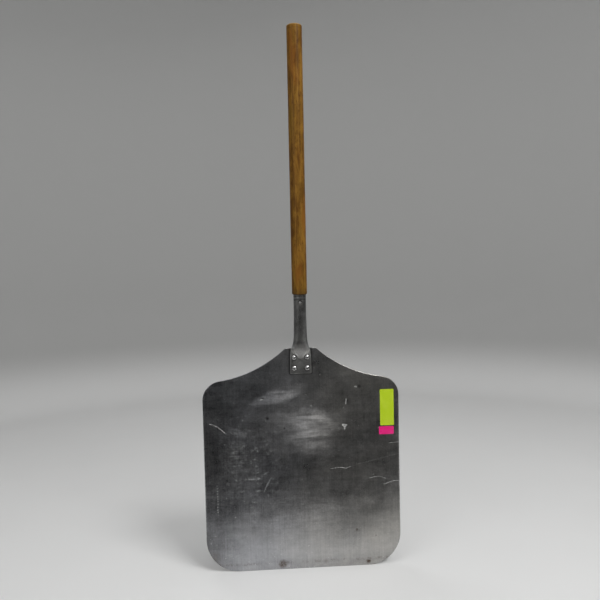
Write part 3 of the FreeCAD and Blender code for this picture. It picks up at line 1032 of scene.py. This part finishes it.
def wood_material():
    """Lacquered hardwood: honey colour, grain along the dowel, dark flecks, dirt at the socket end, and a
    painted highlight round the free end.
    """
    s = Shader("lacquered_handle_wood")
    along = s.mapped(s.place(), rotation=(-TILT, 0, 0))
    _, _, z = s.split(along)
    mottle = s.stretched(along, (62, 62, 24), 5.0, 0.65, 0.8)
    streaks = s.stretched(along, (420, 420, 15), 5.0, 0.65, 0.5)
    broad = s.stretched(along, (20, 20, 7), 2.0)
    pores = s.stretched(along, (1300, 1300, 110), 3.0, 0.65)
    flecks = s.stretched(along, (260, 260, 100), 2.0, 0.6, location=(3.1, 0.7, 0.4))
    knots = s.stretched(along, (70, 70, 34), 2.0, 0.6, 0.7, location=(1.7, 5.2, 0.9))
    red = s.stretched(along, (45, 45, 14), 3.0, location=(9.0, 2.0, 5.0))

    tone = s.sum(s.times(mottle, 0.5), s.times(streaks, 0.4))
    tone = s.sum(tone, s.times(pores, 0.1))
    color = s.mix(s.spread(tone, 0.40, 0.60), (0.090, 0.037, 0.006), (0.246, 0.124, 0.019))
    layers = (
        (broad, 0.48, 0.66, 0.40, (0.220, 0.130, 0.018)),
        (red, 0.50, 0.68, 0.60, (0.200, 0.072, 0.010)),
        (pores, 0.55, 0.70, 0.55, (0.075, 0.030, 0.006)),
        (flecks, 0.57, 0.70, 0.65, (0.080, 0.028, 0.005)),
        (knots, 0.68, 0.78, 0.75, (0.075, 0.024, 0.005)),
    )
    for value, low, high, strength, shade in layers:
        color = s.mix(s.spread(value, low, high, 0.0, strength), color, shade)
    end_z = END_S + BEND_Z
    # Painted highlight: the free end is paler where its rounding catches the light from above
    painted_end_highlight = s.spread(z, end_z - 0.0030, end_z - 0.001)
    color = s.mix(s.times(painted_end_highlight, 0.6), color, (0.44, 0.28, 0.10))
    ring = s.spread(s.away(z, end_z - END_RING_DROP), 0.0003, 0.0010, 0.28, 0.0)
    dirt = s.math("MAXIMUM", s.spread(z, MOUTH_Z + 0.001, MOUTH_Z + 0.012, 0.45, 0.0), ring)
    color = s.mix(dirt, color, (0.055, 0.030, 0.012))

    rough = s.sum(s.vary(mottle, 0.4), 0.42)
    height = s.sum(s.times(streaks, 0.6), s.times(pores, -0.5))
    normal = s.relief(height, 0.35, 0.00025)
    return s.finish(color, rough, normal, Specular_IOR_Level=0.09)


def paper_material(name, color, pale, dark):
    """Coloured label stock: paper fibre, faded edges of creases, and rubbed dirt."""
    s = Shader(name)
    place = s.place()
    fibre = s.noise(place, 1800.0, 4.0, 0.7)
    fade = s.noise(place, 70.0, 3.0, 0.6)
    shade = s.mix(s.spread(fade, 0.35, 0.7, 0.0, 0.45), color, pale)
    shade = s.mix(s.spread(fibre, 0.5, 0.75, 0.0, 0.25), shade, dark)
    rubbed = s.spread(s.noise(place, 210.0, 3.0, 0.7), 0.60, 0.74, 0.0, 0.35)
    shade = s.mix(rubbed, shade, dark)
    return s.finish(shade, 0.70, s.relief(fibre, 0.3, 0.00008), Specular_IOR_Level=0.15)


# ---------------------------------------------------------------- stage, light and camera

FLOOR_CENTRE_Y = -0.10
FLOOR_RADIUS = 2.10
SWEEP_RADIUS = 0.45
WALL_HEIGHT = 3.2
CARD_RADIUS = 2.0
FLOOR_DROP = 0.0002
WORLD_IN_FRONT = 0.055
WORLD_BEHIND = 0.24


def stage_material():
    """Matt paint: pale on the floor, a mid grey on the wall."""
    s = Shader("studio_paint")
    _, _, z = s.split(s.place())
    tone = s.noise(s.place(), 3.0, 2.0)
    floor = s.mix(tone, (0.75, 0.75, 0.745), (0.79, 0.79, 0.785))
    color = s.mix(s.spread(z, 0.0, 0.22), floor, (0.43, 0.43, 0.425))
    return s.finish(color, 0.9, Specular_IOR_Level=0.1)


def card_material():
    """A pale card that fades to black in front of the peel, where someone in dark clothes would stand:
    painted shade, with a painted pool of light close to the peel on the other sides.
    """
    s = Shader("fading_card_paint")
    level = s.vector("MULTIPLY", s.place(), (1.0, 1.0, 0.0))
    distance = s.vector("LENGTH", level)
    _, toward, _ = s.split(s.vector("NORMALIZE", level))
    ahead = s.fade(toward, -0.84, -0.52)
    # Painted shade ahead of the peel, and a painted pool of light near it to the sides
    shaded = s.spread(distance, 0.0, 0.31, 0.89, 0.03)
    near = s.spread(distance, 0.05, 0.36, 0.32, 0.0)
    plain = s.sum(near, s.spread(distance, 0.2, 1.5, 0.56, 0.20))
    tone = s.times(ahead, shaded)
    tone = s.sum(tone, s.times(s.math("SUBTRACT", 1.0, ahead), plain))
    return s.finish(s.grey(tone), 0.9, Specular_IOR_Level=0.0)


def stage_disc(name, profile, centre_y, count, material):
    """A surface turned about a vertical axis, from a profile of radius and height."""
    points = [Vector((0, centre_y, profile[0][1]))]
    for radius, height in profile[1:]:
        for i in range(count):
            turn = 2 * math.pi * i / count
            points.append(Vector((radius * math.cos(turn), centre_y + radius * math.sin(turn), height)))
    faces = [(0, 1 + i, 1 + (i + 1) % count) for i in range(count)]
    for r in range(len(profile) - 2):
        for i in range(count):
            j = (i + 1) % count
            low, high = 1 + r * count, 1 + (r + 1) * count
            faces.append((low + i, high + i, high + j, low + j))
    disc = mesh_object(name, points, faces, material)
    return disc


def make_stage():
    """A round studio with a swept floor, and a card under the peel, with painted shade, that shows only in
    the metal.
    """
    flat_radius = FLOOR_RADIUS - SWEEP_RADIUS
    profile = [(0, -FLOOR_DROP), (0.6, -FLOOR_DROP), (flat_radius, -FLOOR_DROP)]
    for i in range(1, 13):
        a = math.pi / 2 * i / 12
        profile.append((flat_radius + SWEEP_RADIUS * math.sin(a), SWEEP_RADIUS * (1 - math.cos(a))))
    profile.append((FLOOR_RADIUS, WALL_HEIGHT))
    sweep = stage_disc("studio_sweep", profile, FLOOR_CENTRE_Y, 96, stage_material())
    sweep.visible_glossy = False
    card = stage_disc("floor_card", [(0, 0.0), (0.4, 0.0), (CARD_RADIUS, 0.0)], 0.0, 64, card_material())
    card.visible_camera = False
    card.visible_diffuse = False
    card.visible_shadow = False


def area_light(name, place, aim, width, height, power, color=(1, 1, 1)):
    data = bpy.data.lights.new(name, "AREA")
    data.shape = "RECTANGLE"
    data.size = width
    data.size_y = height
    data.energy = power
    data.color = color
    light = bpy.data.objects.new(name, data)
    bpy.context.scene.collection.objects.link(light)
    light.location = place
    light.rotation_euler = (Vector(aim) - Vector(place)).to_track_quat("-Z", "Y").to_euler()


def make_lights():
    """Soft lamps round the peel, and a dim world that is darker in front."""
    area_light("key", (0.95, -1.25, 1.95), (0, 0, 0.45), 0.9, 0.7, 26.0)
    area_light("fill", (-1.05, -1.15, 1.2), (0, 0, 0.5), 1.0, 1.0, 5.0)
    area_light("overhead", (0.1, -0.35, 2.45), (0, 0, 0), 1.4, 1.2, 16.0)
    area_light("behind", (-0.6, 0.85, 2.2), (0, 0, 0.4), 0.8, 0.6, 4.0)
    world = bpy.data.worlds.new("studio")
    bpy.context.scene.world = world
    world.use_nodes = True
    world.node_tree.nodes["Background"].inputs["Color"].default_value = (0.95, 0.98, 1.0, 1)
    nodes, links = world.node_tree.nodes, world.node_tree.links
    split = nodes.new("ShaderNodeSeparateXYZ")
    links.new(nodes.new("ShaderNodeTexCoord").outputs["Generated"], split.inputs[0])
    behind = nodes.new("ShaderNodeMapRange")
    behind.inputs["From Min"].default_value = -0.3
    behind.inputs["From Max"].default_value = 0.7
    behind.inputs["To Min"].default_value = WORLD_IN_FRONT
    behind.inputs["To Max"].default_value = WORLD_BEHIND
    links.new(split.outputs[1], behind.inputs["Value"])
    links.new(behind.outputs["Result"], nodes["Background"].inputs["Strength"])
    bpy.context.scene.view_settings.view_transform = "Standard"


# The photo's viewpoint: beside the middle, before the blade and above the floor, in metres, then turns
CAMERA_SIDE = -0.063
CAMERA_DISTANCE = 1.074
CAMERA_HEIGHT = 0.547
CAMERA_PITCH = math.radians(-2.80)
CAMERA_YAW = math.radians(-3.50)
CAMERA_ROLL = math.radians(-1.45)
CAMERA_LENS = 36.0
SENSOR_WIDTH = 36.0


def make_camera():
    data = bpy.data.cameras.new("camera")
    data.sensor_width = SENSOR_WIDTH
    data.lens = CAMERA_LENS
    camera = bpy.data.objects.new("camera", data)
    bpy.context.scene.collection.objects.link(camera)
    turn = (Matrix.Rotation(math.pi / 2, 4, "X") @ Matrix.Rotation(CAMERA_ROLL, 4, "Z")
            @ Matrix.Rotation(CAMERA_PITCH, 4, "X") @ Matrix.Rotation(CAMERA_YAW, 4, "Y"))
    place = Vector((CAMERA_SIDE, FRONT_Y - CAMERA_DISTANCE, CAMERA_HEIGHT))
    camera.matrix_world = Matrix.Translation(place) @ turn
    bpy.context.scene.camera = camera


# ---------------------------------------------------------------- build

RIVETS = [f"rivet_{row}_{column}" for row in ("lower", "upper") for column in ("left", "right")]
RIVET_METAL = rivet_material()
# Labels: hue, paper's colour, its pale and dark shades, and a seed for how the label lifts
LABEL_PAPERS = (
    ("green", (0.445, 0.60, 0.017), (0.53, 0.66, 0.055), (0.29, 0.44, 0.012), 1.7),
    ("pink", (0.74, 0.016, 0.19), (0.79, 0.070, 0.27), (0.52, 0.008, 0.11), 5.2),
)

make_blade()
make_socket()
make_handle()
for number, rivet in enumerate(RIVETS):
    make_rivet(rivet, 3.7 * number + 1.0)
make_pin()
for hue, color, pale, dark, lift_seed in LABEL_PAPERS:
    paper = paper_material(f"{hue}_label_paper", color, pale, dark)
    make_label(f"lot_label_{hue}", paper, lift_seed)
make_stage()
make_lights()
make_camera()
